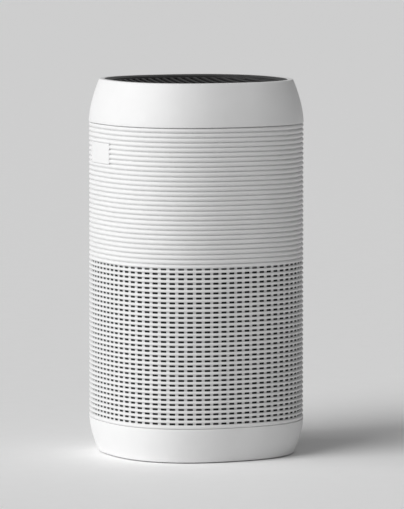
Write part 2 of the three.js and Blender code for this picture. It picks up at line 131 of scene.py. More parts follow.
def polar(radius, degrees):
    return radius * math.cos(math.radians(degrees)), radius * math.sin(math.radians(degrees))


def round_angles(count):
    return np.arange(count) * TURN / count


def around(radius, angles, height):
    """Points at distances from the axis, angles round it and heights."""
    return np.stack(np.broadcast_arrays(radius * np.cos(angles), radius * np.sin(angles), height), axis=-1)


def arc_line(radius, start, end, count=24, at=(0, 0)):
    """Points along an arc, from one angle in degrees to another."""
    return around(radius, np.radians(np.linspace(start, end, count)), 0)[:, :2] + at


def circle(radius, count=48, at=(0, 0)):
    """Points of a circle, anticlockwise."""
    return arc_line(radius, 0, 360, count + 1, at)[:-1]


def rounded_rectangle(low, high, radius, steps=4):
    """Points of a rectangle with round corners, anticlockwise."""
    (x0, y0), (x1, y1) = np.add(low, radius), np.subtract(high, radius)
    corners = ((x1, y0, -90), (x1, y1, 0), (x0, y1, 90), (x0, y0, 180))
    return np.concatenate([arc_line(radius, start, start + 90, steps + 1, (x, y)) for x, y, start in corners])


def shift_in(points, distance):
    """A closed outline moved inwards by a distance."""
    along = np.roll(points, -1, axis=0) - np.roll(points, 1, axis=0)
    along /= np.linalg.norm(along, axis=1)[:, None]
    return points + distance * np.stack([-along[:, 1], along[:, 0]], axis=-1)


def at_height(plan, z):
    """Plan points lifted to a height."""
    return np.column_stack([plan, np.full(len(plan), z)])


def as_is(points):
    return points


def turn_about_axis(degrees):
    """A map that turns points about the Z axis."""
    c, s = polar(1, degrees)

    def turn(points):
        x, y, z = np.moveaxis(np.asarray(points, float), -1, 0)
        return np.stack([c * x - s * y, s * x + c * y, z], axis=-1)
    return turn


def lay_along_y(points):
    """Maps a shape that stands on Z to one that lies along Y: x stays, z becomes y, y becomes -z."""
    x, y, z = np.moveaxis(np.asarray(points, float), -1, 0)
    return np.stack([x, z, -y], axis=-1)


def fillet(corners, steps=4):
    """A profile from (x, z) or (x, z, radius) corners, each rounded to its radius.
    It closes on itself unless it starts on the axis."""
    corners = [(*corner, 0)[:3] for corner in corners]
    closed = corners[0][0] > 0
    made = []
    for i, (x, z, radius) in enumerate(corners):
        if radius == 0 or (not closed and i in (0, len(corners) - 1)):
            made.append((x, z))
            continue
        here = Vector((x, z))
        before = (Vector(corners[i - 1][:2]) - here).normalized()
        after = (Vector(corners[(i + 1) % len(corners)][:2]) - here).normalized()
        half = before.angle(after) / 2
        tangent = radius / math.tan(half)
        centre = here + (before + after).normalized() * (radius / math.sin(half))
        start, end = here + before * tangent - centre, here + after * tangent - centre
        sweep = start.angle(end)
        for k in range(steps + 1):
            a, b = math.sin(sweep * (1 - k / steps)), math.sin(sweep * k / steps)
            made.append(tuple(centre + (start * a + end * b) / math.sin(sweep)))
    return made


def band(inner, outer, low, high, edge=0.0):
    """Corners of a ring's section, or of a disc's from radius 0. `edge` rounds them all alike, or each:
    inner low, outer low, outer high, inner high."""
    corners = ((inner, low), (outer, low), (outer, high), (inner, high))
    return [(*corner, radius) for corner, radius in zip(corners, np.broadcast_to(edge, 4))]


def groove(start, end, level, depth, slope):
    """Corners of a shallow turned groove between two radii."""
    return [(start, level), (start + slope, level + depth), (end - slope, level + depth), (end, level)]


class Skin:
    """Grids of points in millimetres, welded into one mesh where they meet."""

    def __init__(self):
        self.points, self.faces, self.count = [], [], 0

    def grid(self, points, wrap=False):
        """Quads between rows of points; `wrap` closes each row on itself."""
        rows, columns = points.shape[:2]
        index = np.arange(rows * columns).reshape(rows, columns) + self.count
        if wrap:
            index = np.concatenate([index, index[:, :1]], axis=1)
        corners = (index[:-1, :-1], index[:-1, 1:], index[1:, 1:], index[1:, :-1])
        self.faces.append(np.stack(corners, axis=-1).reshape(-1, 4))
        self.points.append(np.asarray(points, float).reshape(-1, 3))
        self.count += rows * columns
        return self

    def loft(self, rings):
        """A closed skin through closed rings of points, capped at both ends."""
        rings = np.array(rings, float)
        first, last = (np.repeat(rings[i].mean(axis=0)[None, None], rings.shape[1], axis=1) for i in (0, -1))
        return self.grid(np.concatenate([first, rings, last]), wrap=True)

    def prism(self, plan, low, high, edge=0.3, steps=3, turn=as_is):
        """An outline raised from one height to another, its upper and lower edges rounded.
        `turn` maps the finished points, for a prism that doesn't stand upright."""
        bends = np.linspace(0, TURN / 4, steps + 1)
        rows = [(edge * (1 - math.sin(b)), edge * (1 - math.cos(b))) for b in bends]
        rings = [at_height(shift_in(plan, inset), low + rise) for inset, rise in rows]
        rings += [at_height(shift_in(plan, inset), high - rise) for inset, rise in rows[::-1]]
        return self.loft(turn(np.array(rings)))

    def block(self, low, high, edge=0.4, turn=as_is):
        """An upright box with rounded edges and corners."""
        radius = min(edge, *(0.45 * (h - l) for l, h in zip(low, high)))
        plan = rounded_rectangle(low[:2], high[:2], radius, 3)
        return self.prism(plan, low[2], high[2], radius * 0.9, 2, turn)

    def revolve(self, corners, sides=96, squared_beyond=math.inf, at=(0, 0), turn=as_is):
        """A profile of (radius, height) or (radius, height, rounding) corners turned round an upright line.
        Points beyond `squared_beyond` follow the plan outline in place of a circle."""
        profile = fillet(corners)
        if profile[0][0] > 0:
            profile.append(profile[0])
        profile = np.array(profile, float)
        angles = round_angles(sides)
        radius = profile[:, :1] * outline(angles) ** (profile[:, :1] > squared_beyond)
        return self.grid(turn(around(radius, angles, profile[:, 1:]) + (*at, 0)), wrap=True)

    def mesh(self, name, material, sharp=35):
        """A linked object of the welded grids. Edges above `sharp` degrees stay sharp."""
        points = np.concatenate(self.points)
        keys = np.round(points / 0.001).astype(np.int64)
        _, first, welded = np.unique(keys, axis=0, return_index=True, return_inverse=True)
        faces = []
        for quad in welded.reshape(-1)[np.concatenate(self.faces)].tolist():
            face = [v for i, v in enumerate(quad) if v != quad[i - 1]]
            if len(set(face)) == len(face) > 2:
                faces.append(face)
        mesh = bpy.data.meshes.new(name)
        mesh.from_pydata((points[first] * MM).tolist(), [], faces)
        mesh.materials.append(material)
        shell = bmesh.new()
        shell.from_mesh(mesh)
        bmesh.ops.recalc_face_normals(shell, faces=shell.faces[:])
        shell.to_mesh(mesh)
        shell.free()
        smooth(mesh, sharp)
        return add_object(name, mesh)


def add_object(name, data):
    made = bpy.data.objects.new(name, data)
    bpy.context.scene.collection.objects.link(made)
    return made


def smooth(mesh, sharp):
    mesh.polygons.foreach_set("use_smooth", [True] * len(mesh.polygons))
    mesh.set_sharp_from_angle(angle=math.radians(sharp))


def turned(name, corners, material, sides=96, **how):
    """One turned piece. `how` is passed on to Skin.revolve."""
    return Skin().revolve(corners, sides, **how).mesh(name, material)


def drill(radius, low, high, at=(0, 0), sides=48, turn=as_is):
    """A round cutter."""
    return Skin().loft(turn(np.array([at_height(circle(radius, sides, at), z) for z in (low, high)])))


def cut(piece, *tools):
    """Cuts skins out of a piece by exact booleans."""
    material = piece.data.materials[0]
    cutters = [tool.mesh("cutter", material) for tool in tools]
    for cutter in cutters:
        step = piece.modifiers.new("cut", "BOOLEAN")
        step.object, step.solver = cutter, "EXACT"
    bpy.context.view_layer.update()
    graph = bpy.context.evaluated_depsgraph_get()
    result = bpy.data.meshes.new_from_object(piece.evaluated_get(graph))
    piece.modifiers.clear()
    piece.data = result
    result.materials.clear()
    result.materials.append(material)
    result.polygons.foreach_set("material_index", [0] * len(result.polygons))
    smooth(result, 30)
    for cutter in cutters:
        bpy.data.objects.remove(cutter)
    return piece


def spline(points, steps=10):
    """A smooth line through points: a centripetal Catmull-Rom curve."""
    points = [np.array(p, float) for p in points]
    points = [2 * points[0] - points[1], *points, 2 * points[-1] - points[-2]]
    made = []
    for p in zip(points, points[1:], points[2:], points[3:]):
        t0, t1, t2, t3 = np.cumsum([0] + [np.linalg.norm(b - a) ** 0.5 for a, b in zip(p, p[1:])])
        for t in np.linspace(t1, t2, steps, endpoint=False):
            a = ((t1 - t) * p[0] + (t - t0) * p[1]) / (t1 - t0)
            b = ((t2 - t) * p[1] + (t - t1) * p[2]) / (t2 - t1)
            c = ((t3 - t) * p[2] + (t - t2) * p[3]) / (t3 - t2)
            a, b = ((t2 - t) * a + (t - t0) * b) / (t2 - t0), ((t3 - t) * b + (t - t1) * c) / (t3 - t1)
            made.append(((t2 - t) * a + (t - t1) * b) / (t2 - t1))
    return np.array([*made, points[-2]])


def tube(skin, line, radius, sides=20, closed=False):
    """A round tube along a line of points, capped at its ends or closed on itself."""
    line = np.array(line, float)
    along = np.roll(line, -1, axis=0) - np.roll(line, 1, axis=0) if closed else np.gradient(line, axis=0)
    along /= np.linalg.norm(along, axis=1)[:, None]
    normal = np.cross(along[0], (0.31, 0.52, 0.79))
    angles = round_angles(sides)
    rings = []
    for point, forward in zip(line, along):
        normal = normal - forward * normal.dot(forward)
        normal /= np.linalg.norm(normal)
        side = np.cross(forward, normal)
        rings.append(point + radius * (np.outer(np.cos(angles), normal) + np.outer(np.sin(angles), side)))
    return skin.grid(np.array([*rings, rings[0]]), wrap=True) if closed else skin.loft(rings)


def stroke(skin, line, width, low, high, surface=lambda plan: 0.0 * plan[..., :1]):
    """A flat ribbon along a plan line, from `low` to `high` above a surface."""
    line = np.array(line, float)
    along = np.gradient(line, axis=0)
    along /= np.linalg.norm(along, axis=1)[:, None]
    side = np.stack([-along[:, 1], along[:, 0]], axis=-1) * width / 2
    plan = np.stack([line - side, line + side])
    under, over = (np.concatenate([plan, surface(plan) + z], axis=-1) for z in (low, high))
    return skin.loft(np.stack([under[0], under[1], over[1], over[0]], axis=1))


# Materials


def material(slot, colour, roughness, metallic=0.0, grain=1400, grain_depth=0.02, mottle=0.03,
             rough_spread=0.08, coat=0.0, brushed=0.0, specular=0.5):
    """A procedural moulded or finished surface: fine grain, soft mottling and uneven gloss."""
    made = bpy.data.materials.new(slot)
    made.use_nodes = True
    nodes, links = made.node_tree.nodes, made.node_tree.links
    shader = nodes["Principled BSDF"]
    shader.inputs["Metallic"].default_value = metallic
    shader.inputs["Coat Weight"].default_value = coat
    shader.inputs["Specular IOR Level"].default_value = specular
    place = nodes.new("ShaderNodeTexCoord").outputs["Object"]

    def noise(scale, detail, vector):
        made = nodes.new("ShaderNodeTexNoise")
        made.inputs["Scale"].default_value = scale
        made.inputs["Detail"].default_value = detail
        links.new(vector, made.inputs["Vector"])
        return made.outputs["Fac"]
    tint = nodes.new("ShaderNodeValToRGB")
    low, high = tint.color_ramp.elements
    low.position, high.position = 0.3, 0.7
    low.color = tuple(c * (1 - mottle) for c in colour) + (1,)
    high.color = tuple(min(1, c * (1 + mottle * 0.4)) for c in colour) + (1,)
    links.new(noise(45, 4, place), tint.inputs["Fac"])
    links.new(tint.outputs["Color"], shader.inputs["Base Color"])

    stretch = nodes.new("ShaderNodeMapping")
    stretch.inputs["Scale"].default_value = (1, 1, 1 + brushed)
    links.new(place, stretch.inputs["Vector"])
    fine = noise(grain, 3, stretch.outputs["Vector"])
    gloss = nodes.new("ShaderNodeMapRange")
    gloss.inputs["To Min"].default_value = max(0.02, roughness - rough_spread)
    gloss.inputs["To Max"].default_value = min(1, roughness + rough_spread)
    links.new(fine, gloss.inputs["Value"])
    links.new(gloss.outputs["Result"], shader.inputs["Roughness"])
    bump = nodes.new("ShaderNodeBump")
    bump.inputs["Strength"].default_value = 0.5
    bump.inputs["Distance"].default_value = grain_depth * MM
    links.new(fine, bump.inputs["Height"])
    links.new(bump.outputs["Normal"], shader.inputs["Normal"])
    return made


WHITE = material("white_shell", (0.78, 0.78, 0.78), 0.55, grain=2200, grain_depth=0.012, mottle=0.015,
                 specular=0.2)
BLACK = material("black_plastic", (0.024, 0.024, 0.0245), 0.3, grain=1800, mottle=0.2, specular=0.2)
GLOSS = material("panel_gloss", (0.012, 0.012, 0.013), 0.12, rough_spread=0.03, mottle=0.2, coat=0.6)
BUTTON = material("button_grey", (0.20, 0.205, 0.21), 0.36, grain=2600, mottle=0.06)
GREY = material("grey_plastic", (0.34, 0.35, 0.36), 0.5, grain=1200, mottle=0.07)
RUBBER = material("rubber", (0.022, 0.022, 0.022), 0.82, grain=900, grain_depth=0.05, mottle=0.25)
JACKET = material("lead_jacket", (0.03, 0.03, 0.032), 0.55, grain=1500, mottle=0.15)
PAPER = material("filter_paper", (0.80, 0.78, 0.72), 0.9, grain=700, grain_depth=0.08, mottle=0.06)
CARBON = material("carbon", (0.02, 0.02, 0.02), 0.85, grain=420, grain_depth=0.6, mottle=0.4)
STEEL = material("steel", (0.56, 0.57, 0.58), 0.3, metallic=1.0, grain=700, mottle=0.08, brushed=6)
BOARD = material("circuit_board", (0.015, 0.12, 0.055), 0.4, grain=600, grain_depth=0.03, mottle=0.3)
COPPER = material("copper", (0.62, 0.27, 0.12), 0.35, metallic=1.0, grain=800, mottle=0.2)
LIGHT = material("light_guide", (0.74, 0.80, 0.84), 0.3, grain=900, mottle=0.04)


def finish(piece, *nodes, body="housing"):
    """Rides a piece on its body and hides the CAD nodes it stands for."""
    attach(piece, body)
    if nodes:
        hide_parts(*nodes)


# Ribbed casing

PLATE_DEPTH = 1.7
WINDOW_GAP, WINDOW_DEPTH = 0.28, -2.1       # the recess that the blank plate sits in
TOP_DEPTH = -1.2                            # where the highest groove meets the lid seam


def shell_points(heights, depths, angles):
    """Grid of points on the casing: heights and depths by row, or by row and column."""
    def spread(values):
        values = np.array(values, float)
        return np.repeat(values[:, None], len(angles), axis=1) if values.ndim == 1 else values
    return around((HALF + spread(depths)) * outline(angles), angles, spread(heights))


def close_shell(skin, angles, bottom, bottom_depth, top, top_depth):
    """The inner face of a part of the casing, and its lower and upper edges."""
    skin.grid(shell_points([bottom, top], [-SKIN_DEPTH] * 2, angles), wrap=True)
    skin.grid(shell_points([bottom] * 2, [-SKIN_DEPTH, bottom_depth], angles), wrap=True)
    skin.grid(shell_points([top] * 2, [top_depth, -SKIN_DEPTH], angles), wrap=True)


def plain_rib():
    """One rib of the plain stretch, from groove bottom to groove bottom: (height, depth) pairs."""
    lip, half = 0.54, PITCH / 2
    crest = [(half + w * (half - lip), -1.35 * w * w) for w in (-1, -0.86, -0.62, -0.3, 0.3, 0.62, 0.86, 1)]
    return [(0, -2.5), (0.34, -2.45), *crest, (PITCH - 0.34, -2.45)]


def plate_angles():
    """Angles of the blank plate's two upright edges, as seen from the axis."""
    angles = np.linspace(TURN * 0.65, TURN * 0.85, 20001)
    x = HALF * outline(angles) * np.cos(angles)
    return [angles[np.searchsorted(x, edge)] for edge in (PLATE_LOW[0], PLATE_HIGH[0])]


def add_ribbed_part():
    """The plain ribs, from the crest under the lowest plain groove up to the lid seam."""
    bottom = SEAM_LOW + (INTAKE_ROWS + 0.5) * PITCH
    rows = [(SEAM_LOW + k * PITCH + z, depth) for k in range(INTAKE_ROWS, RIBS) for z, depth in plain_rib()]
    rows = [(bottom, 0), *(r for r in rows if bottom < r[0] < SHELL_HIGH - 0.2), (SHELL_HIGH, TOP_DEPTH)]
    z, depth = np.array(rows).T
    for edge in (PLATE_LOW[2] - WINDOW_GAP, PLATE_HIGH[2] + WINDOW_GAP):
        at = np.searchsorted(z, edge)
        z, depth = np.insert(z, at, [edge] * 2), np.insert(depth, at, [np.interp(edge, z, depth)] * 2)
    left, right = plate_angles()
    left, right = left - WINDOW_GAP / HALF, right + WINDOW_GAP / HALF
    angles = round_angles(RIB_COLUMNS)
    for edge in (left, right):
        angles = np.insert(angles, np.searchsorted(angles, edge), [edge] * 2)
    depths = np.repeat(depth[:, None], len(angles), axis=1)
    rows_in = np.flatnonzero((z >= PLATE_LOW[2] - WINDOW_GAP) & (z <= PLATE_HIGH[2] + WINDOW_GAP))[1:-1]
    columns_in = np.flatnonzero((angles >= left) & (angles <= right))[1:-1]
    depths[np.ix_(rows_in, columns_in)] = WINDOW_DEPTH

    skin = Skin().grid(shell_points(z, depths, angles), wrap=True)
    close_shell(skin, angles, bottom, 0, SHELL_HIGH, TOP_DEPTH)
    finish(skin.mesh("ribbed_shell", WHITE, 50), "body_shell")


# Half of a holed groove, going up from its middle: height and depth on the web between two holes
WEB_ROWS = [(0, -2.4), (1.08, -2.35), (1.14, -1.6), (1.32, -0.95), (1.72, -0.34), (PITCH / 2, 0)]
SOFT_END = (PITCH / 2 - 0.16, -0.003)       # keeps the crest's slope flat where two parts of the shell meet
# Columns over one hole pitch, and the height of the hole's edge there
HOLE_COLUMNS = [(-0.5, 0), (-0.334, 0), (-0.318, 0.85), (-0.27, 1.1), (0.27, 1.1), (0.318, 0.85), (0.334, 0)]
# The lowest edge of the ribbed casing: height above it, and depth
FOOT_ROWS = [(0, -1), (0.3, -0.62), (0.8, -0.28), (1.4, -0.07)]


def add_intake_part(name, first, last):
    """Holed grooves number first to last, counted up from the base, with a rib's half on each side."""
    per_hole = len(HOLE_COLUMNS)
    columns = np.array(HOLE_COLUMNS * HOLES_ROUND)
    angles = (np.repeat(np.arange(HOLES_ROUND), per_hole) + columns[:, 0]) * TURN / HOLES_ROUND
    inside = np.full(len(angles), -SKIN_DEPTH)
    skin = Skin()
    for k in range(first, last + 1):
        middle = SEAM_LOW + k * PITCH
        for side in (1, -1):
            rows = list(WEB_ROWS)
            if k == (last if side > 0 else first):
                rows.insert(-1, SOFT_END)
            rise, depth = np.array(rows).T
            height = middle + side * np.maximum(rise[:, None], columns[:, 1])
            depths = np.interp(np.abs(height - middle), rise, depth)
            skin.grid(shell_points(height, depths, angles), wrap=True)
            skin.grid(shell_points(height[[0, -1]], [-SKIN_DEPTH] * 2, angles), wrap=True)
            walls = shell_points(height[[0, 0]], np.stack([depths[0], inside]), angles)
            for start in range(1, len(columns), per_hole):
                skin.grid(walls[:, start:start + per_hole - 1])
    low, high = SEAM_LOW + (first - 0.5) * PITCH, SEAM_LOW + (last + 0.5) * PITCH
    bottom, bottom_depth = low, 0
    if first == 1:
        bottom, bottom_depth = SHELL_LOW - GAP, FOOT_ROWS[0][1]
        z, depth = np.array([*((bottom + rise, d) for rise, d in FOOT_ROWS), (low, 0)]).T
        skin.grid(shell_points(z, depth, angles), wrap=True)
        skin.grid(shell_points([bottom, low], [-SKIN_DEPTH] * 2, angles), wrap=True)
    skin.grid(shell_points([bottom] * 2, [-SKIN_DEPTH, bottom_depth], angles), wrap=True)
    skin.grid(shell_points([high] * 2, [0, -SKIN_DEPTH], angles), wrap=True)
    finish(skin.mesh(name, WHITE, 50), "body_shell")


def add_blank_plate():
    """Smooth plate in the front of the casing, level with the crests, with softened edges."""
    edge = 0.5
    soft = np.array([0, 0.05, 0.15, 0.3, edge])

    def across(start, end, count):
        return np.concatenate([start + soft, np.linspace(start + 1, end - 1, count), (end - soft)[::-1]])

    left, right = plate_angles()
    z = across(PLATE_LOW[2], PLATE_HIGH[2], 8)
    side = across(left * HALF, right * HALF, 40)
    angles = side / HALF
    from_edge = np.minimum.outer(np.minimum(z - z[0], z[-1] - z), np.minimum(side - side[0], side[-1] - side))
    inset = np.clip(edge - from_edge, 0, edge)
    front = shell_points(z, np.sqrt(edge ** 2 - inset ** 2) - edge, angles)
    back = shell_points(z, [-PLATE_DEPTH] * len(z), angles)
    skin = Skin().grid(front).grid(back)
    for end in (0, -1):
        skin.grid(np.stack([back[end], front[end]])).grid(np.stack([back[:, end], front[:, end]]))
    finish(skin.mesh("name_plate_front", WHITE, 50), "name_plate")


# Lid and base

def lid_half(z):
    return HALF - LID_TAPER * np.clip((z - SHELL_HIGH) / (RIM - SHELL_HIGH), 0, 1) ** TAPER_POWER


def base_half(z):
    return HALF - BASE_TAPER * np.clip((SEAM_LOW - z) / (SEAM_LOW - BASE_LOW), 0, 1) ** TAPER_POWER


def add_lid():
    z = np.linspace(LID_LOW, RIM, 17)
    opening, collar = BEZEL_HALF + GAP, 10
    corners = [
        (lid_half(LID_LOW), LID_LOW, 0.5), *((lid_half(h), h) for h in z[1:-1]),
        (lid_half(RIM), RIM, 1.3), (opening, RIM, 0.5),
        (opening, RIM - collar), (opening + 2.2, RIM - collar), (opening + 2.2, RIM - WALL),
        *((lid_half(h) - WALL, h) for h in z[1:-2][::-1]), (lid_half(LID_LOW) - WALL, LID_LOW),
    ]
    finish(turned("lid_cover", corners, WHITE, 256, squared_beyond=0), "lid")


def lug_outline(outreach, degrees, at):
    """Plan outline of a sector just outside the cover's radius."""
    half = degrees / 2
    outer = arc_line(COVER_RADIUS + outreach, at - half, at + half, 12)
    inner = arc_line(COVER_RADIUS - 1.5, at + half, at - half, 12)
    return np.concatenate([outer, inner])


def add_base():
    z = np.linspace(BASE_HIGH, BASE_LOW, 13)
    floor, edge, lip = BASE_LOW + 3, base_half(BASE_LOW), 3
    corners = [
        (base_half(BASE_HIGH), BASE_HIGH, 0.45), (base_half(BASE_HIGH) - WALL, BASE_HIGH),
        *((base_half(h) - WALL, h) for h in z[2:-2]), (base_half(floor) - WALL, floor, 0.8), (60, floor),
        (60, BASE_LOW), (edge - lip, BASE_LOW), (edge - lip, BASE_LIP), (edge, BASE_LIP, 1.8),
        *((base_half(h), h) for h in z[1:-1][::-1]),
    ]
    piece = turned("base_skirt", corners, WHITE, 256, squared_beyond=0)
    under, over = -5, 15                    # the tools reach right through the floor of the base
    tools = [drill(COVER_RADIUS + 0.5, under, over, sides=160)]
    tools += [Skin().prism(lug_outline(5.1, 24, at + UNLOCKED), under, over, 0.05, 1) for at in COVER_TURNS]
    tools += [drill(7, under, BASE_LOW + 1.6, polar(FOOT_CIRCLE, at)) for at in FOOT_ANGLES]
    step = [(0, under), (3.6, under), (3.6, BASE_LOW + 2), (1.9, BASE_LOW + 2), (1.9, over), (0, over)]
    tools += [Skin().revolve(step, 40, at=polar(POST_CIRCLE, at)) for at in POST_ANGLES]
    (x, _, low), (_, _, high) = span("power_inlet")
    socket = rounded_rectangle((x - GAP, -high - GAP), (-x + GAP, -low + GAP), 1.6)
    tools.append(Skin().prism(socket, 80, 120, 0.05, 1, lay_along_y))
    finish(cut(piece, *tools), "base_shell")


def add_cover():
    """Twist-off filter cover: two finger pockets leave a grip bar, and arrows mark the way it turns."""
    low, high = COVER_LOW, COVER_HIGH
    corners = [(0, low), *groove(34, 37, low, 0.5, 0.6), *groove(72, 75, low, 0.5, 0.6),
               (COVER_RADIUS, low, 1.2), (COVER_RADIUS, high, 0.5), (0, high)]
    piece = turned("cover_disc", corners, GREY, 160)
    pocket_radius, bar = 30, 8              # `bar` is half the grip bar's width
    start = math.degrees(math.asin(bar / pocket_radius))
    pocket = arc_line(pocket_radius, start, 180 - start, 40)
    rows = ((1.2, 2.8), (0.4, 2.4), (0, -0.5))
    hollow = np.array([at_height(shift_in(pocket, inset), low + z) for inset, z in rows])
    tools = [Skin().loft(turn_about_axis(flip)(hollow)) for flip in (0, 180)]
    for at in (60, 180, 300):
        tools.append(stroke(Skin(), arc_line(54, at - 9, at + 9), 2.2, low - 1, low + 0.5))
        tip = [polar(50, at + 8), polar(58, at + 8), polar(54, at + 15)]
        tools.append(Skin().loft([at_height(tip, z) for z in (low - 1, low + 0.5)]))
    finish(cut(piece, *tools), "filter_cover", body="cover")

    lugs = Skin()
    lug_low = 5.0
    for at in COVER_TURNS:
        inner, outer = (arc_line(COVER_RADIUS + r, at - 10, at + 10, 16) for r in (-1.5, 4.5))
        loop = ((inner, lug_low), (outer, lug_low), (outer, high), (inner, high), (inner, lug_low))
        rows = np.array([at_height(line, z) for line, z in loop])
        lugs.grid(rows)
        for end in (0, -1):
            lugs.grid(rows[[[0, 1], [3, 2]], end])
    finish(lugs.mesh("cover_lugs", GREY), "filter_cover", body="cover")


def screw(name, at, face, under, tip, head):
    """A pan-head screw from its head's face to its tip, with rings for its thread and a cross recess."""
    way = 1 if tip > face else -1
    shank, thread, length = 1.5, 0.7, abs(tip - under)
    corners = [(0, face), (head * 0.55, face), (head, face + way * 0.7, 0.35), (head, under),
               (shank, under, 0.15)]
    for k in range(int((length - 2.2) / thread)):
        z = under + way * (0.8 + k * thread)
        corners += [(shank - 0.3, z), (shank, z + way * 0.3)]
    corners += [(shank - 0.3, under + way * (length - 1.2)), (0.25, tip), (0, tip)]
    piece = turned(name, corners, STEEL, 32, at=at)
    slots = []
    for angle in (20, 110):
        end, side = np.array(polar(head * 0.55, angle)), np.array(polar(0.36, angle + 90))
        plan = np.array([-end - side, end - side, end + side, side - end]) + at
        slots.append(Skin().loft([at_height(plan, z) for z in (face - way * 0.5, face + way * 0.95)]))
    return cut(piece, *slots)


def add_feet_posts_and_screws():
    for i, angle in enumerate(FOOT_ANGLES, 1):
        _, high = levels(f"foot_{i}")
        corners = [(0, 0.5), (3.4, 0.5), (3.8, 0), (6.6, 0, 0.8), (6.6, high, 0.3), (0, high)]
        finish(turned(f"rubber_foot_{i}", corners, RUBBER, 64, at=polar(FOOT_CIRCLE, angle)), f"foot_{i}")
    wide, narrow = 4.6, 4
    for i, angle in enumerate(POST_ANGLES, 1):
        at = polar(POST_CIRCLE, angle)
        low, high = levels(f"post_{i}")
        corners = [(0, 16), (1.9, 15, 0.4), (1.9, low), (wide, low, 0.3), (wide, low + 8, 0.5),
                   (narrow, low + 11, 0.8), (narrow, high - 11, 0.8), (wide, high - 8, 0.5),
                   (wide, high, 0.4), (0, high)]
        finish(turned(f"deck_post_{i}", corners, BLACK, 40, at=at), f"post_{i}")
        low, high = levels(f"base_screw_{i}")
        finish(screw(f"base_fixing_{i}", at, low, low + 1.4, high, 3.2), f"base_screw_{i}")


# Outlet

def dish_height(x, y):
    half = (np.abs(x) ** PLAN_POWER + np.abs(y) ** PLAN_POWER) ** (1 / PLAN_POWER)
    return DISH_EDGE - DISH_DEPTH * (1 - (half / (GRILLE_HALF + GAP)) ** 2)


def add_bezel():
    inner = GRILLE_HALF + GAP
    corners = [(BEZEL_HALF, RIM - 6), (BEZEL_HALF, BEZEL_HIGH, 0.3), (inner, RIM - 2, 0.5),
               (inner, BEZEL_LOW)]
    finish(turned("bezel_ring", corners, BLACK, 256, squared_beyond=0), "outlet_bezel")


def slats(y, frame_half, core):
    """Rings of points for the parts of one slat, which runs in X at a distance y. Its rounded upper edges
    lie on the dish, and the hub parts it in two where it comes within `core` of the axis."""
    half = SLAT_THICKNESS / 2
    across, down = np.array(fillet([(half, 0, 0.6), (half - 0.5, -SLAT_DEPTH, 0.3),
                                    (0.5 - half, -SLAT_DEPTH, 0.3), (-half, 0, 0.6)], steps=3)).T
    across = across + y
    stop = (frame_half ** PLAN_POWER - np.abs(across) ** PLAN_POWER) ** (1 / PLAN_POWER)
    runs = [(-stop, stop)]
    if np.abs(across).max() < core:
        start = np.sqrt(core ** 2 - across ** 2)
        runs = [(-stop, -start), (start, stop)]
    for start, stop in runs:
        x = start + (stop - start) * np.linspace(0, 1, 25)[:, None]
        yield np.stack([x, across + 0 * x, dish_height(x, across) + down], axis=-1)


def add_grille():
    outer, inner = GRILLE_HALF, GRILLE_HALF - 2.6
    low = DISH_EDGE - 7
    rim = [(outer, low), (outer, DISH_EDGE - 0.2, 0.5), (inner, DISH_EDGE - 0.7, 0.5), (inner, low)]
    skin = Skin().revolve(rim, 256, squared_beyond=0)
    skin.revolve(band(PANEL_RADIUS + GAP, PANEL_RADIUS + 2.7, PANEL_TOP - 7, HUB_TOP, (0, 0, 0.8, 0.6)), 128)
    count = int((inner - 2) / SLAT_PITCH)
    for k in range(-count, count + 1):
        for rings in slats(k * SLAT_PITCH, inner + 1.2, PANEL_RADIUS + 1.5):
            skin.loft(rings)
    finish(skin.mesh("outlet_slats", BLACK), "outlet_grille")


# Controls

def add_panel():
    top, floor = PANEL_TOP, PANEL_LOW
    wall, plate = PANEL_RADIUS - 2, top - 2.5
    corners = [
        (POWER_BUTTON_RADIUS + 0.4, plate), (POWER_BUTTON_RADIUS + 0.4, top, 0.35),
        (11, top, 0.15), (11, top - 1.2), (13.4, top - 1.2), (13.4, top, 0.15),
        (PANEL_RADIUS, top, 0.8), (PANEL_RADIUS, floor), (wall, floor), (wall, plate, 0.5),
    ]
    piece = turned("panel_face", corners, GLOSS, 128)
    tools = [drill(SMALL_BUTTON_RADIUS + 0.4, top - 9, top + 5, polar(BUTTON_CIRCLE, angle))
             for angle in SMALL_BUTTONS.values()]
    finish(cut(piece, *tools), "control_panel")
    bosses, lamps = Skin(), Skin()
    for angle in (0, 90, 180, 270):
        bosses.revolve(band(0, 2, floor + 6, top - 2.6, (0, 0.3, 0, 0)), 32, at=polar(27, angle))
    finish(bosses.mesh("panel_bosses", BLACK))
    ring = band(11.3, 13.1, top - 0.9, top + 0.1, (0, 0, 0.3, 0.3))
    finish(turned("light_ring", ring, LIGHT, 128), "indicator_ring")
    lamp = [(0, top - 0.3), (0.55, top - 0.3), (0.55, top + 0.12, 0.1), (0, top + 0.16)]
    for angle in SMALL_BUTTONS.values():
        lamps.revolve(lamp, 20, at=polar(29, angle))
    finish(lamps.mesh("panel_lamps", LIGHT))


def button_face(radius):
    """The dished face of a button, from its middle to where its edge rounds off: (distance, height)."""
    face = PANEL_TOP + 0.8
    return [(0, face - 0.4), (radius * 0.45, face - 0.34), (radius * 0.78, face - 0.16), (radius - 0.5, face)]


def add_button(name, radius, at, lines, width):
    """A button with a symbol printed on it: thin ribbons that lie on its dished face."""
    face, under, flange = PANEL_TOP + 0.8, PANEL_TOP - 3, radius + 1.2
    corners = [*button_face(radius), (radius, face - 0.45, 0.3), (radius, under), (flange, under, 0.3),
               (flange, under - 1.4, 0.3), (0, under - 1.4)]
    finish(turned(name.replace("button", "key"), corners, BUTTON, 72, at=at), name, body=name)

    def surface(plan):
        distance = np.linalg.norm(plan - at, axis=-1, keepdims=True)
        return np.interp(distance, *zip(*button_face(radius)))
    mark = Skin()
    for line in lines:
        stroke(mark, np.array(line) + at, width, -0.2, 0.03, surface)
    finish(mark.mesh(name.replace("button", "mark"), LIGHT), body=name)


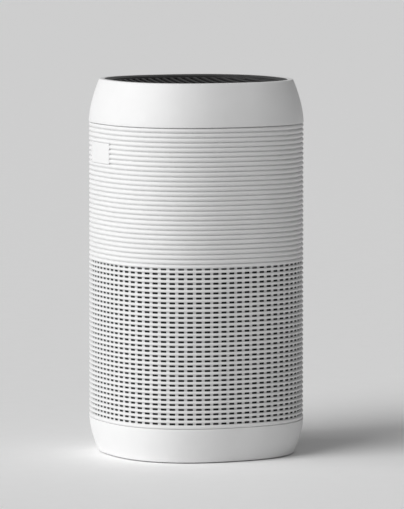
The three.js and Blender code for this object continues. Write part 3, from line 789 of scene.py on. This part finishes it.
def add_buttons():
    power = [arc_line(3.1, 125, 415, 36), np.linspace((0, 1.4), (0, 4.4), 3)]
    add_button("power_button", POWER_BUTTON_RADIUS, (0, 0), power, 0.6)
    shackle = arc_line(0.95, 0, 180, 14, (0, 0.7))
    small = {
        "speed_button": [[polar(0.6 + 1.8 * t, at + 55 * t * t) for t in np.linspace(0, 1, 10)]
                         for at in (90, 210, 330)],
        "timer_button": [arc_line(2.2, 90, 450, 32), [(0, 1.4), (0, 0.7), (0, -0.1)],
                         [(-0.1, 0), (0.5, -0.3), (1, -0.6)]],
        "sleep_button": [arc_line(2.1, 55, 305, 28), arc_line(1.75, 66, 294, 28, (0.5, 0))],
        "lock_button": [np.linspace((-1.5, -1), (1.5, -1), 4), shackle,
                        *(np.linspace((x, 0.8), (x, 0), 3) for x in (0.95, -0.95))],
    }
    for name, angle in SMALL_BUTTONS.items():
        add_button(name, SMALL_BUTTON_RADIUS, polar(BUTTON_CIRCLE, angle), small[name], 0.36)


def add_control_board():
    low, _ = levels("control_board")
    top = low + 1.6
    board = Skin().prism(circle(PANEL_RADIUS - 3, 96), low, top, 0.15, 1)
    finish(board.mesh("control_circuit", BOARD), "control_board")
    parts, joints = Skin(), Skin()
    for x, y in [(0, 0), *(polar(BUTTON_CIRCLE, a) for a in SMALL_BUTTONS.values())]:
        parts.block((x - 3, y - 3, top), (x + 3, y + 3, top + 3.4), 0.3)
        parts.revolve(band(0, 1.75, top + 3, PANEL_TOP - 5.8, (0, 0, 0.2, 0)), 24, at=(x, y))
        for dx in (-3.4, 3.4):
            for dy in (-2.2, 2.2):
                joints.block((x + dx - 0.5, y + dy - 0.4, top), (x + dx + 0.5, y + dy + 0.4, top + 0.7), 0.15)
    for angle in range(15, 375, 30):
        x, y = polar(12.2, angle)
        parts.block((x - 0.8, y - 0.8, top), (x + 0.8, y + 0.8, top + 0.9), 0.12)
    parts.block((-5, -22, top), (5, -14, top + 1.2), 0.2)
    for k in range(8):
        for y in (-22.9, -13.1):
            joints.block((-4.3 + k * 1.15, y - 0.5, top), (-3.9 + k * 1.15, y + 0.5, top + 0.5), 0.05)
    finish(parts.mesh("control_parts", BLACK))
    finish(joints.mesh("control_solder", STEEL))


# Filter

def add_media():
    """Pleated paper with beads of glue that keep the pleats apart."""
    low, high = levels("filter_media")
    outer, inner, wall, pleats = reach("filter_media"), 59.5, 1.2, 120
    angles = round_angles(pleats * 4)
    fold = np.tile([1.0, 1.0, 0.0, 0.0], pleats)        # peak, peak, valley, valley
    heights = np.linspace(low, high, 7)

    def folded(z, inset):
        return around(inner + fold * (outer - inner - 0.2) - inset, angles, z)
    outside = [folded(z, 0) for z in heights]
    inside = [folded(z, wall) for z in heights[::-1]]
    skin = Skin().grid(np.array([*outside, *inside, outside[0]]), wrap=True)
    finish(skin.mesh("pleated_paper", PAPER, 20), "filter_media")
    beads = Skin()
    for z in heights[1:-1]:
        beads.revolve([(outer - 0.9, z - 0.7), (outer - 0.1, z - 0.5), (outer - 0.1, z + 0.5),
                       (outer - 0.9, z + 0.7)], 120)
    finish(beads.mesh("pleat_beads", PAPER))


def add_carbon():
    """A sleeve pitted with granules on its inner face."""
    low, high = levels("carbon_sleeve")
    inner, columns, rows = 53.5, 144, 70
    angles = round_angles(columns)
    pits = np.add.outer(np.arange(rows) % 2, np.arange(columns) % 2) == 2
    radius = inner + 0.9 * pits
    radius[[0, -1]] = inner
    inside = around(radius, angles, np.linspace(low, high, rows)[:, None])
    widen = reach("carbon_sleeve") / inner
    edge = inside[[-1, 0]] * (widen, widen, 1)
    skin = Skin().grid(np.concatenate([inside, edge, inside[:1]]), wrap=True)
    finish(skin.mesh("carbon_core", CARBON, 60), "carbon_sleeve")


def add_caps_and_seal():
    wall = 78.4                             # inner radius of both caps' rims
    low, high = levels("filter_bottom_cap")
    outer = reach("filter_bottom_cap")
    corners = [(0, low), *groove(20, 25, low, 0.6, 1), (outer, low, 1.2), (outer, high, 0.5),
               (wall, high, 0.4), (wall, low + 3, 0.4), (0, low + 3)]
    finish(turned("bottom_end_cap", corners, GREY, 128), "filter_bottom_cap")
    low, high = levels("filter_top_cap")
    corners = [(50, high - 3, 0.5), (wall, high - 3, 0.4), (wall, low, 0.4), (80, low, 0.4),
               (80, high, 1.2), *groove(66, 63.5, high, -0.5, -0.5), (50, high, 0.8)]
    finish(turned("top_end_cap", corners, GREY, 128), "filter_top_cap")
    low, high = levels("filter_seal")
    corners = [(53, low, 0.5), (62, low, 0.5), (62, high - 2, 0.6), (60, high, 0.5), (58.4, high, 0.5),
               (57.6, high - 2.2, 0.4), (56.8, high, 0.5), (55, high, 0.5), (53, high - 2, 0.6)]
    finish(turned("seal_ring", corners, RUBBER, 128), "filter_seal")


def add_prefilter():
    """Dust net that stands just inside the casing, woven of raised knots and sunk squares."""
    low, high = levels("prefilter_net")
    columns, rows = 304, 122
    angles = round_angles(columns)
    knots = np.add.outer(np.arange(rows) % 2, np.arange(columns) % 2) >= 1
    face = reach("prefilter_net") - HALF
    depth = face - 0.55 * ~knots
    depth[[0, -1]] = face
    outside = shell_points(np.linspace(low, high, rows), depth, angles)
    inside = shell_points([high, low], [face - 1.2] * 2, angles)
    skin = Skin().grid(np.concatenate([outside, inside, outside[:1]]), wrap=True)
    finish(skin.mesh("dust_net", BLACK, 60), "prefilter_net")


# Fan and motor

def add_deck():
    low, top = DECK_LOW, DECK_LOW + 3
    corners = [(DECK_HALF, low, 0.6), (DECK_HALF, top, 0.6), (56, top, 1.2), (52.4, top + 1.5, 0.6),
               (52.4, DECK_HIGH, 0.5), (50, DECK_HIGH, 0.5), (50, low, 0.8)]
    piece = turned("deck_plate", corners, GREY, 192, squared_beyond=80)
    wire_hole = drill(2.6, low - 5, top + 5, (14, 96), 32)
    finish(cut(piece, wire_hole), "fan_deck")
    ribs = Skin()
    for angle in range(6, 360, 24):
        if 70 < angle < 95:                 # the wire passes here
            continue
        ribs.block((90.5, -0.8, top - 0.5), (102, 0.8, top + 2), 0.4, turn_about_axis(angle))
    finish(ribs.mesh("deck_ribs", GREY))


def add_guard_and_duct():
    low, high = levels("inlet_guard")
    guard = Skin().revolve(band(47, 49.7, low, high, 0.7), 128)
    guard.revolve(band(0, 6, low, high, 0.8), 48)
    for angle in range(0, 360, 60):
        guard.block((4, -1, low), (48, 1, high), 0.7, turn_about_axis(angle))
    finish(guard.mesh("guard_spokes", BLACK), "inlet_guard")
    wall = band(DUCT_RADIUS - 2, DUCT_RADIUS, DUCT_LOW, DUCT_HIGH, (0.5, 0.5, 0.8, 0.8))
    piece = turned("duct_wall", wall, BLACK, 160)
    wire_holes = [drill(3, 60, 120, (x, -z), 32, lay_along_y) for x, z in ((6, 312), (-6, 360))]
    finish(cut(piece, *wire_holes), "air_duct")


def add_impeller():
    low, high = levels("impeller")
    radius, bore, hub_low = reach("impeller"), 3.3, high - 14
    ring = [(54, low, 0.6), (radius, low, 0.6), (radius, low + 2, 0.6), (57, low + 2, 0.6),
            (54, low + 1, 0.3)]
    hub = [(bore, hub_low, 0.3), (8, hub_low, 0.5), (9.4, high - 7, 2), (14, high - 2, 3),
           (radius, high - 2, 0.6), (radius, high, 0.6), (bore, high, 0.3)]
    skin = Skin().revolve(ring, 144).revolve(hub, 144)
    blades, inner, outer, steps = 11, 52, radius - 0.6, 12
    share = np.linspace(0, 1, steps + 1)
    distance = inner + (outer - inner) * share
    tips = [np.sin(np.clip(way * 6 + 0.35, 0, TURN / 4)) for way in (share, 1 - share)]
    half = 0.8 * tips[0] * tips[1]          # half a blade's thickness, which tapers to both ends
    for k in range(blades):
        middle = math.radians(-38) * share + k * TURN / blades
        sides = [around(distance, middle + way * half / distance, 0) for way in (-1, 1)]
        loop = np.concatenate([sides[0], sides[1][::-1]])
        rings = np.stack([loop + (0, 0, z) for z in (low + 1.5, high - 1.5)])
        skin.grid(rings, wrap=True)
        for ring in rings:
            skin.grid(np.stack([ring[:steps + 1], ring[steps + 1:][::-1]]))
    finish(skin.mesh("fan_wheel", GREY), "impeller", body="fan")


def add_rotor_and_shaft():
    low, high, radius, bore = ROTOR_LOW, ROTOR_HIGH, ROTOR_RADIUS, 3.3
    can = [(bore, low, 0.2), (radius, low, 1), (radius, high, 0.3), (radius - 2, high, 0.3),
           (radius - 2, low + 2, 0.6), (bore, low + 2)]
    piece = turned("rotor_can", can, STEEL, 96)
    vents = [drill(2.6, low - 5, low + 8, polar(13.5, a), 24) for a in range(35, 395, 60)]
    finish(cut(piece, *vents), "motor_rotor", body="fan")
    magnet = band(radius - 3.1, radius - 2.02, low + 4, high - 1.2, (0.2, 0, 0, 0.2))
    finish(turned("rotor_magnet", magnet, CARBON, 96), body="fan")
    low, high = levels("motor_shaft")
    shaft = [(0, low), (3, low, 0.5), (3, low + 4), (2.6, low + 4), (2.6, low + 5), (3, low + 5),
             (3, high, 0.5), (0, high)]
    finish(turned("drive_shaft", shaft, STEEL, 48), "motor_shaft", body="fan")


def add_stator():
    low, high = levels("motor_stator")
    coils, core = Skin(), Skin()
    core.revolve(band(10.6, 14, low, high, 0.2), 72)
    for angle in range(0, 360, 60):
        turn = turn_about_axis(angle)
        core.block((13, -1.3, low + 1.4), (19, 1.3, high - 1.4), 0.2, turn)
        core.block((18.3, -3.6, low + 0.4), (19.7, 3.6, high - 0.4), 0.4, turn)
        winding = rounded_rectangle((-2.05, low + 0.9), (2.05, high - 0.9), 1.1)
        for r in np.arange(14.6, 18.1, 0.62):
            tube(coils, turn([(r, y, z) for y, z in winding]), 0.3, 8, closed=True)
    finish(core.mesh("stator_core", STEEL))
    finish(coils.mesh("stator_coils", COPPER), "motor_stator")


def add_bearings():
    for name in ("lower", "upper"):
        low, high = levels(f"{name}_bearing")
        races = Skin().revolve(band(3.3, 4.6, low, high, (0.25, 0.2, 0.2, 0.25)), 64)
        races.revolve(band(6.5, 7.7, low, high, (0.2, 0.3, 0.3, 0.2)), 64)
        races.revolve(band(4.6, 6.5, low + 0.45, high - 0.45), 64)
        finish(races.mesh(f"{name}_race", STEEL), f"{name}_bearing")


def add_motor_mount():
    tube_low, _ = levels("motor_mount")
    plate = ROTOR_HIGH + 2.5
    corners = [(8, tube_low, 0.3), (10.3, tube_low, 0.3), (10.3, plate, 1.2), (36, plate, 0.6),
               (36, plate + 3, 0.8), (8, plate + 3, 0.4)]
    piece = turned("motor_plate", corners, BLACK, 128)
    holes = [drill(1.8, plate - 5, plate + 8, polar(SCREW_CIRCLE, a), 32) for a in SCREW_ANGLES]
    holes.append(drill(3, plate - 5, plate + 8, (0, 16), 32))
    finish(cut(piece, *holes), "motor_mount")
    outer = DUCT_RADIUS - 2 - GAP
    vanes = Skin().revolve(band(outer - 2.7, outer, plate - 4, plate + 11, 0.6), 160)
    for k in range(5):
        turn = turn_about_axis(12 + 72 * k)
        vanes.block((34, -1.3, plate + 0.2), (outer - 1.4, 1.3, plate + 10), 0.9, turn)
    finish(vanes.mesh("motor_vanes", BLACK), "motor_mount")
    for i, angle in enumerate(SCREW_ANGLES, 1):
        low, high = levels(f"motor_screw_{i}")
        piece = screw(f"motor_fixing_{i}", polar(SCREW_CIRCLE, angle), high, high - 1.7, low, 3)
        finish(piece, f"motor_screw_{i}")


# Electrical parts

BOARD_FACE = 98.6                           # y of the power board's face, where its parts stand
BOARD_BACK = BOARD_FACE + 1.6


def add_power_board():
    low, high = levels("main_board")
    plan = rounded_rectangle((-28, -high), (28, -low), 2)
    board = Skin().prism(plan, BOARD_FACE, BOARD_BACK, 0.12, 1, lay_along_y)
    rows = (low + 4, high - 4)
    holes = [drill(1.2, BOARD_FACE - 3, BOARD_FACE + 5, (x, -z), 24, lay_along_y)
             for x in (-12, 0, 12) for z in rows]
    finish(cut(board.mesh("power_circuit", BOARD), *holes), "main_board")
    stands = Skin()
    stand = band(0, 2.4, BOARD_BACK, 105.1, (0, 0, 0.3, 0))
    pin = [(0, BOARD_FACE - 1.4), (1.9, BOARD_FACE - 1.2, 0.4), (1.9, BOARD_FACE), (0, BOARD_FACE)]
    for x in (-24, 24):
        for z in rows:
            for corners in (stand, pin):
                stands.revolve(corners, 32, at=(x, -z), turn=lay_along_y)
    finish(stands.mesh("board_stands", GREY))


def add_power_parts():
    """Transformer, relay, two capacitors, a chip, small parts and a wound choke."""
    face = BOARD_FACE
    dark, bright, wound = Skin(), Skin(), Skin()
    dark.block((-24, 90.5, 300), (-6, face, 318), 0.5)
    dark.block((14, 92, 326), (24, face, 342), 0.5)
    for x, z, radius, top in ((-16, 332, 4.5, 90.4), (-4, 336, 3.2, 91.4)):
        can = [(0, top), (radius * 0.7, top), (radius, top + 0.4, 0.4), (radius, face - 1.6),
               (radius * 0.93, face - 1.2), (radius, face - 0.8), (radius, face), (0, face)]
        dark.revolve(can, 48, at=(x, -z), turn=lay_along_y)
        bright.revolve(band(0, radius * 0.66, top - 0.08, top + 0.3), 48, at=(x, -z), turn=lay_along_y)
    dark.block((2, 96.9, 301), (12, face, 309.5), 0.2)
    for k in range(7):
        for x in (1.2, 12.8):
            z = 301.8 + k * 1.15
            bright.block((x - 0.7, 97.9, z - 0.2), (x + 0.7, face, z + 0.2), 0.1)
    for x, z in ((17, 305), (21, 305), (17, 310), (21, 310), (-23, 342), (-18, 342), (2, 342), (6, 342)):
        dark.block((x - 1, 97.8, z - 0.7), (x + 1, face, z + 0.7), 0.12)
        for end in (x - 1.2, x + 1.2):
            bright.block((end - 0.35, 97.9, z - 0.7), (end + 0.35, face, z + 0.7), 0.1)
    choke, core = (6, -327, 95.6), 3.2
    tube(dark, lay_along_y(at_height(circle(core, 40), 0) + choke), 1.3, 16, closed=True)
    winding = [(core + 1.6 * math.cos(a), 0, 1.6 * math.sin(a)) for a in round_angles(16)]
    for angle in range(0, 360, 20):
        tube(wound, lay_along_y(turn_about_axis(angle)(winding) + choke), 0.28, 8, closed=True)
    finish(dark.mesh("power_parts", BLACK))
    finish(bright.mesh("power_contacts", STEEL))
    finish(wound.mesh("power_choke", COPPER))


def add_sensor():
    low, high = span("particle_sensor")
    tools = [drill(5, -10, 10, (low[0], -(low[2] + high[2]) / 2), 40, lay_along_y)]
    for y in range(-6, 9, 3):
        start, end = (low[0] - 1, y - 0.6, high[2] - 9), (low[0] + 0.8, y + 0.6, high[2] - 4)
        tools.append(Skin().block(start, end, 0.2))
    piece = Skin().block(low, high, 1.2).mesh("sensor_case", GREY)
    finish(cut(piece, *tools), "particle_sensor")


def add_power_inlet():
    """Socket at the back with a figure-of-eight recess and two pins."""
    low, high = span("power_inlet")
    height, lobe = -19.5, 3.4
    plan = rounded_rectangle((low[0], -high[2]), (high[0], -low[2]), 1.6)
    body = Skin().prism(plan, low[1], high[1], 0.5, 3, lay_along_y)
    right, left = arc_line(4, -148, 148, 36, (lobe, height)), arc_line(4, 32, 328, 36, (-lobe, height))
    recess = Skin().prism(np.concatenate([right, left[1:-1]]), 93, 120, 0.05, 1, lay_along_y)
    finish(cut(body.mesh("inlet_body", BLACK), recess), "power_inlet")
    for i, x in enumerate((-4.3, 4.3), 1):
        (_, low, _), (_, high, _) = span(f"inlet_pin_{i}")
        corners = [(0, low), (1.2, low), (1.2, high - 0.8, 0.2), (0.7, high), (0, high)]
        pin = turned(f"mains_pin_{i}", corners, STEEL, 32, at=(x, height), turn=lay_along_y)
        finish(pin, f"inlet_pin_{i}")


def add_leads():
    leads = {
        "power": [(0, 88.9, 22), (2, 89.5, 40), (12, 94.5, 70), (14, 96, 150), (14, 96, 208),
                  (14, 96, 260), (10, 96.5, 290)],
        "motor": [(0, 16, 287), (0, 16, 296), (2, 40, 303), (5, 74, 310), (6, 88, 312), (6, 96, 314)],
        "control": [(0, 8, 371.5), (-1, 20, 365), (-4, 50, 360), (-6, 80, 360), (-6, 90, 359),
                    (-8, 97, 352)],
    }
    for name, points in leads.items():
        wire = tube(Skin(), spline(points), LEAD_RADIUS, 20)
        finish(wire.mesh(f"{name}_wire", JACKET, 60), f"{name}_lead")


# Stage, lights and camera

CAMERA_AZIMUTH = 64.7
CAMERA_DISTANCE = 4.9966
CAMERA_HEIGHT = SHELL_HIGH * MM + 0.3086
CAMERA_SIDE = 0.0064                        # the optical axis passes this far right of the object's axis
CAMERA_TILT = 5.160
CAMERA_LENS = 330.7


def add_floor():
    size = 60
    corners = [(-size, -size, 0), (size, -size, 0), (size, size, 0), (-size, size, 0)]
    mesh = bpy.data.meshes.new("floor")
    mesh.from_pydata(corners, [], [(0, 1, 2, 3)])
    mesh.materials.append(material("floor", (0.95, 0.95, 0.95), 0.7, grain=40, grain_depth=0.1, mottle=0.01))
    add_object("floor", mesh)


def from_camera(right, towards, up):
    """A point given by its distance right of, towards the camera from, and above the origin."""
    a = math.radians(CAMERA_AZIMUTH)
    x = right * math.cos(a) + towards * math.sin(a)
    y = right * math.sin(a) - towards * math.cos(a)
    return Vector((x, y, up))


def add_camera():
    data = bpy.data.cameras.new("camera")
    data.lens = CAMERA_LENS
    data.clip_end = 200
    camera = add_object("camera", data)
    camera.location = from_camera(CAMERA_SIDE, CAMERA_DISTANCE, CAMERA_HEIGHT)
    camera.rotation_euler = (math.radians(90 - CAMERA_TILT), 0, math.radians(CAMERA_AZIMUTH))
    bpy.context.scene.camera = camera


def add_sun(name, side, height, strength, spread):
    """A distant soft light: `side` degrees left of the camera as seen from the object, `height` up."""
    data = bpy.data.lights.new(name, "SUN")
    data.energy, data.angle = strength, math.radians(spread)
    light = add_object(name, data)
    side, height = math.radians(side), math.radians(height)
    level = math.cos(height)
    ray = from_camera(-math.sin(side) * level, math.cos(side) * level, math.sin(height))
    light.location = ray * 2
    light.rotation_euler = ray.to_track_quat("Z", "Y").to_euler()


def add_world(strength):
    world = bpy.data.worlds.new("studio")
    world.use_nodes = True
    background = world.node_tree.nodes["Background"]
    background.inputs["Color"].default_value = (1, 1, 1, 1)
    background.inputs["Strength"].default_value = strength
    bpy.context.scene.world = world


add_camera()
add_floor()
add_world(0.208)
add_sun("key", side=49, height=38, strength=1.95, spread=40)
add_sun("side", side=82, height=18, strength=1.05, spread=42)
add_sun("fill", side=-80, height=14, strength=0.06, spread=60)
bpy.context.scene.view_settings.view_transform = "Standard"

add_ribbed_part()
add_intake_part("intake_shell_low", 1, 11)
add_intake_part("intake_shell_middle", 12, 22)
add_intake_part("intake_shell_high", 23, INTAKE_ROWS)
add_blank_plate()
add_lid()
add_base()
add_cover()
add_feet_posts_and_screws()
add_bezel()
add_grille()
add_panel()
add_buttons()
add_control_board()
add_media()
add_carbon()
add_caps_and_seal()
add_prefilter()
add_deck()
add_guard_and_duct()
add_impeller()
add_rotor_and_shaft()
add_stator()
add_bearings()
add_motor_mount()
add_power_board()
add_power_parts()
add_sensor()
add_power_inlet()
add_leads()
